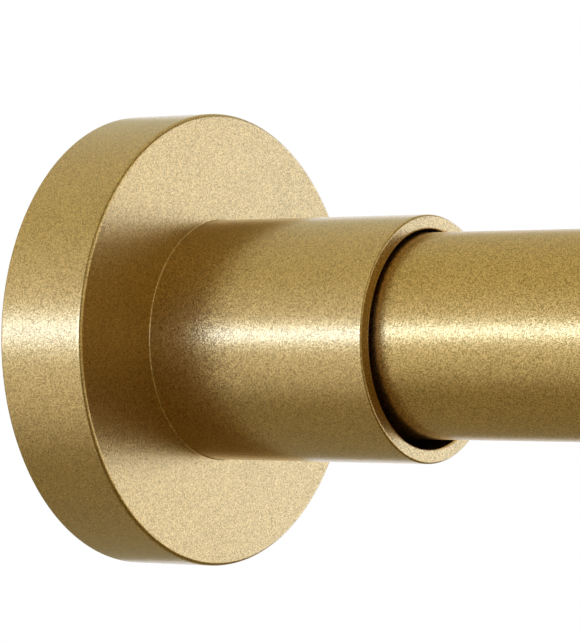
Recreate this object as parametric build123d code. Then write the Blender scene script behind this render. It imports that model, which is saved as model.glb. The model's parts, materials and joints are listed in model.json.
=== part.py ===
from build123d import *
import math
import os

# Telescopic shower curtain rod, 1.09 m closed and 1.83 m open, held between two walls by its own thrust.
# All sizes are in millimetres. The left wall is the plane x = 0, +X runs along the rod and +Z is up.
# Each end has a rubber wall pad in a moulded foot. The foot turns on a plug that is pressed into the tube,
# and a loose cover, a disc with a sleeve, slides along the tube and hides them.
# The thin tube is pushed out of the thick one by a long screw on a spring. A slotted collet holds the
# screw's tail in the thick tube, wherever the thin tube is set.

# Closed length over the two wall pads, and how far its pieces travel
closed_length = 1092.2
screw_travel = 32.0
spring_travel = 12.0
cover_travel = 40.0

# Tubes
outer_tube_d = 25.4
outer_tube_wall = 0.8
inner_tube_d = 22.2
inner_tube_wall = 0.7

# Cover: the disc against the wall and the sleeve round the tube
disc_d = 57.7
disc_thick = 12.7
disc_rim_wall = 2.0
disc_face_wall = 2.2
sleeve_d = 30.6
sleeve_bore = 27.0
sleeve_length = 32.0
cover_off_wall = 1.2
cover_sag = 0.42
cover_boss = 3.1
cover_ribs = 6
cover_rib_wall = 1.6
front_edge_round = 0.5
mouth_round = 0.3
edge_chamfer = 0.3
sleeve_root_round = 0.25

# Foot and its rubber pad
foot_play = 0.55
foot_off_wall = 1.5
foot_thick = 4.5
foot_floor = 1.6
foot_hub_d = 22.0
foot_rim = 2.6
foot_ribs = 8
foot_rib_wall = 1.4
foot_lip = 1.6
pad_thick = 3.0
pad_play = 0.2
pad_land_r = 8.0
pad_outer_land = 1.5
groove_pitch = 4.0
groove_wide = 1.4
groove_deep = 0.8
spigot_d = 12.0
spigot_length = 12.0
head_well_d = 9.6
head_well_deep = 4.0

# Plug in the tube's end, and the screw that holds the foot to it
turning_gap = 0.3
plug_flange = 2.0
plug_length = 25.7
plug_skirt_wall = 1.6
plug_floor = 3.0
plug_ribs = 4
plug_rib_wall = 1.5
press_gap = 0.05
spigot_gap = 0.15
foot_screw_d = 4.0
foot_screw_hole_gap = 0.3
foot_screw_reach = 24.5
foot_screw_boss_d = 9.0
foot_screw_point = 2.5
head_d = 8.0
head_high = 2.4
head_round = 1.1
cross_wide = 1.1
cross_long = 4.4
cross_deep = 1.3
washer_d = 9.0
washer_thick = 0.8
washer_gap = 0.1

# Ring that narrows the right-hand sleeve to the thin tube
reducer_length = 10.0
reducer_set_back = 0.8
reducer_gap = 0.8

# Collar on the open end of the thick tube
collar_wall = 0.95
collar_grip = 8.0
collar_lip = 2.2
collar_bush = 24.0
collar_round = 0.6
collar_to_cover = 6.0
bush_gap = 0.15

# Lock: collet and cone in the thick tube
tail_clearance = 4.2
lock_play = 0.2
collet_web = 5.0
collet_length = 26.0
collet_throat_r = 6.9
collet_mouth_r = 9.6
collet_slots = 6
collet_slot_wide = 2.0
collet_slot_start = 8.0
collet_rings = 4
collet_ring_deep = 0.35
collet_ring_wide = 1.2
cone_gap = 0.3
cone_start = 10.0
cone_past_mouth = 2.0
cone_flange_d = 20.8
cone_flange = 3.0

# Spring and its two washers
spring_length = 38.0
spring_d = 19.0
wire_d = 2.0
wire_sides = 8
spring_coils = 6
seat_washer_d = 19.6
seat_washer_thick = 1.0

# Tension screw, with two flats on its tail
tail_d = 6.0
tail_flats = 5.0
tail_gap = 0.25
tail_past_nut = 1.6
screw_flange_d = 18.0
screw_flange = 3.0
thread_d = 10.0
thread_spare = 8.0
thread_lead_in = 1.5
tail_nut_flats = 10.0
tail_nut_high = 5.0
tail_nut_chamfer = 0.7
tail_washer_d = 12.0
tail_washer_thick = 1.0
tail_washer_gap = 0.2

# Nut plug in the thin tube, and the split ring that guides it
nut_gap = 0.2
nut_start_gap = 0.4
nut_lip = 1.0
nut_lip_d = 18.6
snout_d = 17.0
snout_gap = 0.15
guide_ring_long = 9.2
guide_ring_play = 0.3
guide_ring_slit = 1.5
nut_flange = 2.3
nut_length = 26.5

# Worked out from the sizes above
outer_tube_r = outer_tube_d / 2
inner_tube_r = inner_tube_d / 2
outer_bore_r = outer_tube_r - outer_tube_wall
inner_bore_r = inner_tube_r - inner_tube_wall
disc_r = disc_d / 2
sleeve_r = sleeve_d / 2
sleeve_bore_r = sleeve_bore / 2
rim_bore_r = disc_r - disc_rim_wall
disc_front = cover_off_wall + disc_thick
disc_inside = disc_front - disc_face_wall
cover_mouth = disc_front + sleeve_length
foot_r = rim_bore_r - foot_play
recess_r = foot_r - foot_lip
pad_r = recess_r - pad_play
foot_front = foot_off_wall + foot_thick
plug_start = foot_front + turning_gap
tube_start = plug_start + plug_flange
plug_end = tube_start + plug_length
spigot_end = foot_front + spigot_length
outer_tube_end = closed_length - cover_mouth - cover_travel - collar_to_cover - collar_lip
tail_start = plug_end + tail_clearance + spring_travel
nut_on_tail_start = tail_start + tail_past_nut
tail_washer_start = nut_on_tail_start + tail_nut_high
lock_start = tail_washer_start + tail_washer_thick + tail_washer_gap
cone_flange_start = lock_start + collet_length + cone_past_mouth
spring_start = cone_flange_start + cone_flange + seat_washer_thick
spring_end = spring_start + spring_length
screw_flange_start = spring_end + seat_washer_thick
thread_start = screw_flange_start + screw_flange
nut_start = thread_start + nut_start_gap
guide_ring_start = nut_start + nut_lip + guide_ring_play
nut_flange_start = guide_ring_start + guide_ring_long + guide_ring_play
inner_tube_start = nut_flange_start + nut_flange
thread_end = inner_tube_start + nut_length + screw_travel + thread_spare
inner_tube_end = closed_length - tube_start
fusing_bite = 0.5


def turned(outline, rounds=(), chamfered=()):
    """A solid turned about the X axis. The outline is (x, radius) points, the rounds are (corner, radius)."""
    profile = make_face(Polyline(*outline, close=True))
    for corner, radius in rounds:
        profile = fillet(profile.vertices().sort_by_distance((*corner, 0))[0], radius)
    for corner in chamfered:
        profile = chamfer(profile.vertices().sort_by_distance((*corner, 0))[0], edge_chamfer)
    return revolve(profile, Axis.X)


def ring(start, length, outer_r, inner_r):
    """A plain ring or tube along X."""
    return turned(
        [
            (start, inner_r),
            (start, outer_r),
            (start + length, outer_r),
            (start + length, inner_r),
        ]
    )


def spokes(count, start, end, inner_r, outer_r, wall):
    """Flat radial ribs round the X axis, from inner_r to outer_r."""
    rib = Pos((start + end) / 2, 0, (inner_r + outer_r) / 2) * Box(end - start, wall, outer_r - inner_r)
    return [Rot(X=360 / count * i) * rib for i in range(count)]


def two_flats(start, end, diameter, flats):
    """A round bar along X with two flats, as the screw's tail and what slides on it have."""
    middle = (start + end) / 2
    bar = Pos(middle, 0, 0) * Rot(Y=90) * Cylinder(diameter / 2, end - start)
    return bar & Pos(middle, 0, 0) * Box(end - start, diameter, flats)


def wall_pad():
    """Rubber pad with ring grooves on its wall side."""
    room = pad_r - pad_outer_land - groove_wide - pad_land_r
    grooves = 1 + math.floor(room / groove_pitch)
    outline = [(0, 0)]
    for i in range(grooves):
        inside = pad_land_r + groove_pitch * i
        outline += [(0, inside), (groove_deep, inside)]
        outline += [(groove_deep, inside + groove_wide), (0, inside + groove_wide)]
    outline += [(0, pad_r), (pad_thick, pad_r), (pad_thick, 0)]
    return turned(outline, chamfered=[(0, pad_r)])


def foot():
    """Moulded foot: a ribbed plate that holds the pad, with the spigot it turns on."""
    hole_r = foot_screw_d / 2 + foot_screw_hole_gap
    well_end = pad_thick + head_well_deep
    groove_floor = pad_thick + foot_floor
    hub_r = foot_hub_d / 2
    groove_r = foot_r - foot_rim
    body = turned(
        [
            (foot_off_wall, recess_r),
            (foot_off_wall, foot_r),
            (foot_front, foot_r),
            (foot_front, groove_r),
            (groove_floor, groove_r),
            (groove_floor, hub_r),
            (foot_front, hub_r),
            (foot_front, spigot_d / 2),
            (spigot_end, spigot_d / 2),
            (spigot_end, hole_r),
            (well_end, hole_r),
            (well_end, head_well_d / 2),
            (pad_thick, head_well_d / 2),
            (pad_thick, recess_r),
        ],
        chamfered=[(spigot_end, spigot_d / 2), (foot_front, foot_r)],
    )
    rib_reach = groove_r + fusing_bite
    for rib in spokes(foot_ribs, groove_floor - fusing_bite, foot_front, hub_r - fusing_bite, rib_reach, foot_rib_wall):
        body += rib
    return body


def tube_plug(tube_r, bore_r):
    """Moulded plug, pressed into the tube's end. Its flange caps the tube and the foot's spigot turns in it."""
    plug_r = bore_r - press_gap
    skirt_r = plug_r - plug_skirt_wall
    socket_r = spigot_d / 2 + spigot_gap
    socket_end = spigot_end + turning_gap
    web_end = socket_end + plug_floor
    boss_r = foot_screw_boss_d / 2
    body = turned(
        [
            (plug_start, socket_r),
            (plug_start, tube_r),
            (tube_start, tube_r),
            (tube_start, plug_r),
            (plug_end, plug_r),
            (plug_end, skirt_r),
            (web_end, skirt_r),
            (web_end, boss_r),
            (plug_end, boss_r),
            (plug_end, foot_screw_d / 2),
            (socket_end, foot_screw_d / 2),
            (socket_end, socket_r),
        ],
        chamfered=[(plug_start, tube_r), (plug_end, plug_r)],
    )
    for rib in spokes(
        plug_ribs, web_end - fusing_bite, plug_end, boss_r - fusing_bite, skirt_r + fusing_bite, plug_rib_wall
    ):
        body += rib
    return body


def foot_screw():
    """Pan-head screw with a cross recess, through the foot into the plug."""
    seat = pad_thick + head_well_deep - washer_thick - washer_gap
    head_start = seat - head_high
    tip = seat + foot_screw_reach
    shank_r = foot_screw_d / 2
    body = turned(
        [
            (head_start, 0),
            (head_start, head_d / 2),
            (seat, head_d / 2),
            (seat, shank_r),
            (tip - foot_screw_point, shank_r),
            (tip, 0),
        ],
        [((head_start, head_d / 2), head_round)],
    )
    slot_middle = head_start + cross_deep / 2
    for turn in (0, 90):
        body -= Pos(slot_middle, 0, 0) * Rot(X=turn) * Box(cross_deep, cross_long, cross_wide)
    return body


def foot_washer():
    """Washer under the foot screw's head."""
    start = pad_thick + head_well_deep - washer_thick - washer_gap
    return ring(start, washer_thick, washer_d / 2, foot_screw_d / 2 + spigot_gap)


def cover():
    """One-piece cover: the hollow disc, the sleeve, and ribs inside that bear on the foot."""
    boss_start = disc_inside - cover_boss
    body = turned(
        [
            (cover_off_wall, rim_bore_r),
            (cover_off_wall, disc_r),
            (disc_front, disc_r),
            (disc_front, sleeve_r),
            (cover_mouth, sleeve_r),
            (cover_mouth, sleeve_bore_r),
            (boss_start, sleeve_bore_r),
            (boss_start, sleeve_r),
            (disc_inside, sleeve_r),
            (disc_inside, rim_bore_r),
        ],
        [
            ((disc_front, disc_r), front_edge_round),
            ((disc_front, sleeve_r), sleeve_root_round),
            ((cover_mouth, sleeve_r), mouth_round),
        ],
        [(cover_off_wall, disc_r), (cover_mouth, sleeve_bore_r)],
    )
    rib_start = foot_front + turning_gap
    rib_end = disc_inside + fusing_bite
    for rib in spokes(
        cover_ribs, rib_start, rib_end, sleeve_r - fusing_bite, rim_bore_r + fusing_bite, cover_rib_wall
    ):
        body += rib
    return Pos(0, 0, -cover_sag) * body


def reducer_ring():
    """Ring pressed into the mouth of the sleeve on the thin tube."""
    start = cover_mouth - reducer_set_back - reducer_length
    body = turned(
        [
            (start, inner_tube_r + reducer_gap),
            (start, sleeve_bore_r - press_gap),
            (start + reducer_length, sleeve_bore_r - press_gap),
            (start + reducer_length, inner_tube_r + reducer_gap),
        ],
        chamfered=[(start + reducer_length, inner_tube_r + reducer_gap)],
    )
    return Pos(0, 0, -cover_sag) * body


def end_fitting(tube_r, bore_r):
    """The pieces at one end, with its wall at x = 0 and the tube towards +X."""
    return {
        "wall_pad": wall_pad(),
        "foot": foot(),
        "tube_plug": tube_plug(tube_r, bore_r),
        "foot_screw": foot_screw(),
        "foot_washer": foot_washer(),
        "cover": cover(),
    }


def tube_collar():
    """Moulded collar on the thick tube's open end, with a bush inside that the thin tube slides in."""
    slide_r = inner_tube_r + bush_gap
    grip_r = outer_tube_r + press_gap
    collar_r = grip_r + collar_wall
    collar_end = outer_tube_end + collar_lip
    return turned(
        [
            (outer_tube_end - collar_bush, slide_r),
            (outer_tube_end - collar_bush, outer_bore_r - press_gap),
            (outer_tube_end, outer_bore_r - press_gap),
            (outer_tube_end, grip_r),
            (outer_tube_end - collar_grip, grip_r),
            (outer_tube_end - collar_grip, collar_r),
            (collar_end, collar_r),
            (collar_end, slide_r),
        ],
        [((collar_end, collar_r), collar_round)],
        [(collar_end, slide_r), (outer_tube_end - collar_grip, collar_r)],
    )


def collet_bore_r(offset):
    """Radius of the collet's tapered bore at a distance from its left face."""
    share = (offset - collet_web) / (collet_length - collet_web)
    return collet_throat_r + share * (collet_mouth_r - collet_throat_r)


def lock_collet():
    """Slotted collet. Its fingers grip the thick tube when the cone is pushed into them."""
    outer_r = outer_bore_r - lock_play
    web_end = lock_start + collet_web
    mouth = lock_start + collet_length
    body = turned(
        [
            (lock_start, 0),
            (lock_start, outer_r),
            (mouth, outer_r),
            (mouth, collet_mouth_r),
            (web_end, collet_throat_r),
            (web_end, 0),
        ],
        chamfered=[(lock_start, outer_r)],
    )
    body -= two_flats(lock_start, web_end, tail_d + 2 * tail_gap, tail_flats + 2 * tail_gap)
    groove_step = (collet_length - collet_slot_start) / (collet_rings + 1)
    for i in range(collet_rings):
        middle = lock_start + collet_slot_start + groove_step * (i + 1)
        body -= ring(middle - collet_ring_wide / 2, collet_ring_wide, outer_r + 1, outer_r - collet_ring_deep)
    for slot in spokes(
        collet_slots, lock_start + collet_slot_start, mouth, 0, outer_r + 1, collet_slot_wide
    ):
        body -= slot
    return body


def lock_cone():
    """Cone that the spring pushes into the collet."""
    start = lock_start + cone_start
    small_r = collet_bore_r(cone_start) - cone_gap
    large_r = collet_bore_r(collet_length + cone_past_mouth) - cone_gap
    end = cone_flange_start + cone_flange
    body = turned(
        [
            (start, 0),
            (start, small_r),
            (cone_flange_start, large_r),
            (cone_flange_start, cone_flange_d / 2),
            (end, cone_flange_d / 2),
            (end, 0),
        ],
        chamfered=[(end, cone_flange_d / 2)],
    )
    return body - two_flats(start, end, tail_d + 2 * tail_gap, tail_flats + 2 * tail_gap)


def tension_spring():
    """Compression spring round the screw's tail, with its ends ground flat. Its round wire has eight flats."""
    coil_r = (spring_d - wire_d) / 2
    pitch = spring_length / spring_coils
    run = Helix(pitch=pitch, height=spring_length + pitch, radius=coil_r)
    section = Plane(origin=run @ 0, z_dir=run % 0) * RegularPolygon(wire_d / 2, wire_sides)
    coil = sweep(section, path=run, is_frenet=True)
    coil = Pos(spring_start - pitch / 2, 0, 0) * Rot(Y=90) * coil
    kept = Pos((spring_start + spring_end) / 2, 0, 0) * Box(spring_length, 2 * spring_d, 2 * spring_d)
    return coil & kept


def tension_screw():
    """Long screw: two-flat tail through the lock, a flange that the spring pushes, and the thread."""
    thread_r = thread_d / 2
    body = turned(
        [
            (screw_flange_start, 0),
            (screw_flange_start, screw_flange_d / 2),
            (thread_start, screw_flange_d / 2),
            (thread_start, thread_r),
            (thread_end - thread_lead_in, thread_r),
            (thread_end, thread_r - thread_lead_in),
            (thread_end, 0),
        ]
    )
    return body + two_flats(tail_start, screw_flange_start + fusing_bite, tail_d, tail_flats)


def tail_nut():
    """Hexagon nut that keeps the tail in the collet."""
    start = nut_on_tail_start
    end = start + tail_nut_high
    corner_r = tail_nut_flats / math.sqrt(3)
    hexagon = Plane.YZ.offset(start) * RegularPolygon(corner_r, 6)
    body = extrude(hexagon, tail_nut_high)
    limits = turned(
        [
            (start, 0),
            (start, corner_r - tail_nut_chamfer),
            (start + tail_nut_chamfer / 2, corner_r),
            (end - tail_nut_chamfer / 2, corner_r),
            (end, corner_r - tail_nut_chamfer),
            (end, 0),
        ]
    )
    return (body & limits) - two_flats(start, end, tail_d, tail_d)


def tail_washer():
    """Washer between the tail nut and the collet."""
    return ring(tail_washer_start, tail_washer_thick, tail_washer_d / 2, tail_d / 2 + tail_gap)


def seat_washer(start):
    """Washer at one end of the spring."""
    return ring(start, seat_washer_thick, seat_washer_d / 2, tail_d / 2 + tail_gap)


def guide_ring():
    """Split ring that turns on the nut plug's snout and slides in the thick tube."""
    body = ring(guide_ring_start, guide_ring_long, outer_bore_r - lock_play, snout_d / 2 + snout_gap)
    middle = guide_ring_start + guide_ring_long / 2
    return body - Pos(middle, 0, outer_bore_r) * Box(2 * guide_ring_long, guide_ring_slit, 2 * outer_bore_r)


def nut_plug():
    """Plug pressed into the thin tube's inner end. It is the nut that the tension screw runs in."""
    plug_r = inner_bore_r - press_gap
    bore_r = thread_d / 2 + nut_gap
    snout_start = nut_start + nut_lip
    end = inner_tube_start + nut_length
    return turned(
        [
            (nut_start, bore_r),
            (nut_start, nut_lip_d / 2),
            (snout_start, nut_lip_d / 2),
            (snout_start, snout_d / 2),
            (nut_flange_start, snout_d / 2),
            (nut_flange_start, inner_tube_r),
            (inner_tube_start, inner_tube_r),
            (inner_tube_start, plug_r),
            (end, plug_r),
            (end, bore_r),
        ],
        chamfered=[(end, plug_r), (nut_start, nut_lip_d / 2)],
    )


def build():
    """Every piece of the rod, closed, by name."""
    to_right = Pos(closed_length, 0, 0) * Rot(Z=180)
    pieces = {}
    for name, solid in end_fitting(outer_tube_r, outer_bore_r).items():
        pieces["left_" + name] = solid
    for name, solid in end_fitting(inner_tube_r, inner_bore_r).items():
        pieces["right_" + name] = to_right * solid
    pieces["right_reducer_ring"] = to_right * reducer_ring()
    pieces["outer_tube"] = ring(tube_start, outer_tube_end - tube_start, outer_tube_r, outer_bore_r)
    pieces["inner_tube"] = ring(inner_tube_start, inner_tube_end - inner_tube_start, inner_tube_r, inner_bore_r)
    pieces["tube_collar"] = tube_collar()
    pieces["lock_collet"] = lock_collet()
    pieces["lock_cone"] = lock_cone()
    pieces["lock_seat_washer"] = seat_washer(spring_start - seat_washer_thick)
    pieces["tension_spring"] = tension_spring()
    pieces["screw_seat_washer"] = seat_washer(spring_end)
    pieces["tension_screw"] = tension_screw()
    pieces["tail_nut"] = tail_nut()
    pieces["tail_washer"] = tail_washer()
    pieces["guide_ring"] = guide_ring()
    pieces["nut_plug"] = nut_plug()
    return pieces


os.makedirs("parts", exist_ok=True)
for node, shape in build().items():
    export_step(shape, f"parts/{node}.step")
print("thick tube from", round(tube_start, 2), "to", round(outer_tube_end, 2))
print("thin tube from", round(inner_tube_start, 2), "to", round(inner_tube_end, 2))
print("lock starts at", round(lock_start, 2), "spring starts at", round(spring_start, 2))
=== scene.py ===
# %% [markdown]
# # A telescopic shower curtain rod in satin gold
# The rod stands between two walls and is held by its own thrust. Each end has a rubber pad in a black
# foot, and a gold cover, a disc that runs into a sleeve, hides both. A thick tube holds a thinner one,
# and a lock, a spring and a long screw inside them push the two apart.
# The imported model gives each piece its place, length and width. This scene adds its fine form and finish.

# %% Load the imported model
import json
import math

import bmesh
import bpy
from mathutils import Matrix, Vector


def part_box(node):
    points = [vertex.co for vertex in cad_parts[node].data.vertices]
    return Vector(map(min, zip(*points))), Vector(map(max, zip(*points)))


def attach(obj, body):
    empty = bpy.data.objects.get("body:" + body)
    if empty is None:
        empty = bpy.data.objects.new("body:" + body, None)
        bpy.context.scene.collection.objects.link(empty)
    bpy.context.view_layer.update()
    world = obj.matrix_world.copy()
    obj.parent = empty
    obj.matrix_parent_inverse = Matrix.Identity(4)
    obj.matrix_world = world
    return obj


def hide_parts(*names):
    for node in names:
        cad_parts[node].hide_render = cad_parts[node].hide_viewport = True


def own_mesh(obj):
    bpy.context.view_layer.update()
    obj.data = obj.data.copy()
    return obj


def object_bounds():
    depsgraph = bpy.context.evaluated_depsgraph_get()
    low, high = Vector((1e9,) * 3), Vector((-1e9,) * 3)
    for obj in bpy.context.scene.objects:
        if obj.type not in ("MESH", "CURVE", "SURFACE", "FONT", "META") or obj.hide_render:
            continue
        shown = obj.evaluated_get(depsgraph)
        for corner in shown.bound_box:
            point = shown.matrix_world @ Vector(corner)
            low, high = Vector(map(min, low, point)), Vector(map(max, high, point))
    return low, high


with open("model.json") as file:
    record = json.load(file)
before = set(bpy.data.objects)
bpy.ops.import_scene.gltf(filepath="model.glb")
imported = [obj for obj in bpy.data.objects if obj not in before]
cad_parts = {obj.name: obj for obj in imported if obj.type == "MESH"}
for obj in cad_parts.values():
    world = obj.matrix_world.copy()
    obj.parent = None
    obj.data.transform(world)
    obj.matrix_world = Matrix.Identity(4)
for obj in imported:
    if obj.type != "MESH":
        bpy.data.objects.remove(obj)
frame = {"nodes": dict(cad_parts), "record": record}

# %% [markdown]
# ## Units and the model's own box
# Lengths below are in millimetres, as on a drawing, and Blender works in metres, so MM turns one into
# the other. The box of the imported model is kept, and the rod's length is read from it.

MM = 0.001
cad_box = [list(corner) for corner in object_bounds()]
print("packed box, metres:", cad_box)

# %% [markdown]
# ## The camera
# The camera looks almost level at the left end, from in front and to the right. It stands close, so the
# disc's near side is seen a little larger than its far side, and its long lens is worked out from the
# focal length in pixels. The picture's optical centre is not its middle, and the shift makes up for that.

# %% Put the camera where the photograph was taken
PHOTO_WIDTH = 580
PHOTO_HEIGHT = 643
FOCAL_PIXELS = 3590.0
OPTICAL_CENTRE_X = 301.52
OPTICAL_CENTRE_Y = 331.63
CAMERA_AZIMUTH = 35.81
CAMERA_ELEVATION = -0.30
CAMERA_DISTANCE = 451.5
CAMERA_AIM = (26.2, 0.0, 0.58)


def direction(azimuth, elevation):
    """The way from the object to a camera or lamp, where azimuth 0 is in front (-Y) and 90 is +X."""
    a, e = math.radians(azimuth), math.radians(elevation)
    return Vector((math.sin(a) * math.cos(e), -math.cos(a) * math.cos(e), math.sin(e)))


def aim(thing, place, target):
    """Stands a camera or lamp at a place, in millimetres, and turns it to a target."""
    thing.location = Vector(place) * MM
    gaze = Vector(target) - Vector(place)
    thing.rotation_mode = "QUATERNION"
    thing.rotation_quaternion = gaze.to_track_quat("-Z", "Y")


camera_data = bpy.data.cameras.new("photo_camera")
camera_data.lens = FOCAL_PIXELS / PHOTO_HEIGHT * camera_data.sensor_width
camera_data.shift_x = (PHOTO_WIDTH / 2 - OPTICAL_CENTRE_X) / PHOTO_HEIGHT
camera_data.shift_y = (OPTICAL_CENTRE_Y - PHOTO_HEIGHT / 2) / PHOTO_HEIGHT
camera = bpy.data.objects.new("photo_camera", camera_data)
bpy.context.scene.collection.objects.link(camera)
standpoint = Vector(CAMERA_AIM) + direction(CAMERA_AZIMUTH, CAMERA_ELEVATION) * CAMERA_DISTANCE
aim(camera, standpoint, CAMERA_AIM)
bpy.context.scene.camera = camera
bpy.context.scene.view_settings.view_transform = "Standard"
print("lens", round(camera_data.lens, 1), "mm, standing at", [round(x) for x in standpoint], "mm")

# %% [markdown]
# ## Writing shaders as sums
# A finish is easier to read as an expression than as boxes and wires. A Wire stands for one output
# socket. Adding or multiplying wires adds the Math nodes, and any other node comes from its node method,
# which takes the node's settings first and then what goes into its sockets, by name or by number.


# %% A socket that can be added and multiplied
class Wire:
    """An output socket of a node tree, used as a value in an expression."""

    def __init__(self, tree, socket=None):
        self.tree = tree
        self.socket = socket

    def node(self, kind, sockets=(), out=0, **settings):
        """Adds a node and gives one of its outputs."""
        made = self.tree.nodes.new(kind)
        for name, value in settings.items():
            setattr(made, name, value)
        for name, value in dict(sockets).items():
            if isinstance(value, Wire):
                self.tree.links.new(value.socket, made.inputs[name])
            else:
                made.inputs[name].default_value = value
        return Wire(self.tree, made.outputs[out])

    def output(self, out):
        """Another output of the node that this wire comes from."""
        return Wire(self.tree, self.socket.node.outputs[out])

    def math(self, operation, *others):
        """A Math node with this wire first."""
        values = dict(enumerate((self, *others)))
        return self.node("ShaderNodeMath", values, operation=operation)

    def __add__(self, other):
        return self.math("ADD", other)

    def __radd__(self, other):
        return self.math("ADD", other)

    def __sub__(self, other):
        return self.math("SUBTRACT", other)

    def __rsub__(self, other):
        return self.node("ShaderNodeMath", {0: other, 1: self}, operation="SUBTRACT")

    def __mul__(self, other):
        return self.math("MULTIPLY", other)

    def __rmul__(self, other):
        return self.math("MULTIPLY", other)

    def __truediv__(self, other):
        return self.math("DIVIDE", other)

    def step(self, low, high):
        """0 below low, 1 above high, and smooth between them."""
        sockets = {"Value": self, "From Min": low, "From Max": high}
        return self.node("ShaderNodeMapRange", sockets, interpolation_type="SMOOTHSTEP")

    def vector(self, operation, *others, out=0):
        """A Vector Math node with this wire first."""
        values = dict(enumerate((self, *others)))
        return self.node("ShaderNodeVectorMath", values, out, operation=operation)

    def tint(self, low, high):
        """A colour that goes from low to high as this wire goes from 0 to 1."""
        ends = [x if isinstance(x, Wire) else (*x, 1.0) for x in (low, high)]
        return self.node("ShaderNodeMix", {0: self, 6: ends[0], 7: ends[1]}, 2, data_type="RGBA")


# %% [markdown]
# ## Starting a material
# Every finish begins as the Principled shader of a new material. A number or colour that is the same all
# over is set on the shader's own socket, and what changes over the surface is a wire that is linked to it.


# %% Start a material and fill its sockets
def new_finish(name):
    """An empty material: its tree as a wire to start from, and its Principled shader."""
    material = bpy.data.materials.new(name + "_finish")
    material.use_nodes = True
    tree = material.node_tree
    return material, Wire(tree), tree.nodes["Principled BSDF"]


def fill(shader, **sockets):
    """Sets or links the sockets of a Principled shader. Base_Color stands for Base Color."""
    for name, value in sockets.items():
        socket = shader.inputs[name.replace("_", " ")]
        if isinstance(value, Wire):
            value.tree.links.new(value.socket, socket)
        else:
            socket.default_value = value


def per_metre(size):
    """The texture scale at which a pattern repeats about every so many millimetres."""
    return 1 / (size * MM)


# %% [markdown]
# ## The satin gold coat
# Close up, the gold is not smooth. It is a lacquer full of metal flakes about a tenth of a millimetre
# across, some bright and some dark, so every face has a fine grain. Voronoi cells are the flakes: each
# cell gives a random colour. One channel of it picks a gold between the dark and the light one, and all
# three tip the surface normal a little, which makes the edge of a reflection glitter. Tipping them more
# would make the highlight sparkle, which the real coat does not do. A broad, weak noise keeps large
# faces from looking printed.

# %% Satin gold
FLAKE_SIZE = 0.10
FLAKE_TILT = 0.09
CLOUD_SIZE = 9.0
CLOUD_SHARE = 0.15
GOLD_RANGE = (-0.05, 1.0)
GOLD_ROUGHNESS_SPREAD = 0.1
LACQUER_ROUGHNESS = 0.24
LACQUER_IOR = 1.7


def satin_gold(name, light, dark, roughness, lacquer=1.0):
    """Metal flakes in a satin lacquer, between a light and a dark gold."""
    material, start, shader = new_finish(name)
    place = start.node("ShaderNodeTexCoord", out="Object")
    cells = {"Vector": place, "Scale": per_metre(FLAKE_SIZE)}
    flake = start.node("ShaderNodeTexVoronoi", cells, "Color")
    fine = start.node("ShaderNodeTexNoise", {"Vector": place, "Scale": per_metre(FLAKE_SIZE / 2)})
    broad = {"Vector": place, "Scale": per_metre(CLOUD_SIZE), "Detail": 3.0}
    cloud = start.node("ShaderNodeTexNoise", broad)
    lean = flake.vector("SUBTRACT", (0.5, 0.5, 0.5)).vector("MULTIPLY", (FLAKE_TILT,) * 3)
    normal = start.node("ShaderNodeNewGeometry", out="Normal").vector("ADD", lean).vector("NORMALIZE")
    chance = flake.node("ShaderNodeSeparateColor", {0: flake})
    glint = chance * (1 - CLOUD_SHARE) + cloud * CLOUD_SHARE
    fill(
        shader,
        Base_Color=glint.step(*GOLD_RANGE).tint(dark, light),
        Metallic=1.0,
        Roughness=roughness + (fine - 0.5) * GOLD_ROUGHNESS_SPREAD,
        Normal=normal,
        Coat_Weight=lacquer,
        Coat_Roughness=LACQUER_ROUGHNESS,
        Coat_IOR=LACQUER_IOR,
    )
    return material


GOLD_LIGHT = (0.98, 0.67, 0.235)
GOLD_DARK = (0.32, 0.195, 0.03)
FINISHES = {
    "cover_gold": satin_gold("cover_gold", GOLD_LIGHT, GOLD_DARK, 0.28),
    "tube_gold": satin_gold("tube_gold", GOLD_LIGHT, GOLD_DARK, 0.29, 0.5),
    "collar_gold": satin_gold("collar_gold", GOLD_LIGHT, GOLD_DARK, 0.30),
}
print("gold finishes:", list(FINISHES))

# %% [markdown]
# ## Rubber and moulded plastic
# The pads are black rubber with a dull, slightly dusty skin. The feet and plugs come out of an eroded
# mould, which leaves a fine even grain, and the lock's nylon is pale and waxy. A flat colour would look
# like a toy, so one noise makes the grain in colour, roughness and bump, and a broad one mottles it.

# %% Rubber and plastic
ERODED_GRAIN = 0.35
RUBBER_GRAIN = 0.25
MOTTLE_TO_GRAIN = 30
MOTTLE_SHARE = 0.7
MOTTLE_RANGE = (0.3, 0.75)
GRAIN_ROUGHNESS_SPREAD = 0.16
GRAIN_STRENGTH = 0.5


def grained(name, light, dark, grain, depth, roughness):
    """A dull moulded surface: mottled a little, with a fine even grain in its roughness and bump."""
    material, start, shader = new_finish(name)
    place = start.node("ShaderNodeTexCoord", out="Object")
    near = {"Vector": place, "Scale": per_metre(grain), "Detail": 2.0}
    fine = start.node("ShaderNodeTexNoise", near)
    far = {"Vector": place, "Scale": per_metre(grain * MOTTLE_TO_GRAIN), "Detail": 4.0}
    broad = start.node("ShaderNodeTexNoise", far)
    mottle = broad * MOTTLE_SHARE + fine * (1 - MOTTLE_SHARE)
    bump = {"Strength": GRAIN_STRENGTH, "Distance": depth * MM, "Height": fine}
    fill(
        shader,
        Base_Color=mottle.step(*MOTTLE_RANGE).tint(dark, light),
        Roughness=roughness + (fine - 0.5) * GRAIN_ROUGHNESS_SPREAD,
        Normal=start.node("ShaderNodeBump", bump),
    )
    return material


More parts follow.
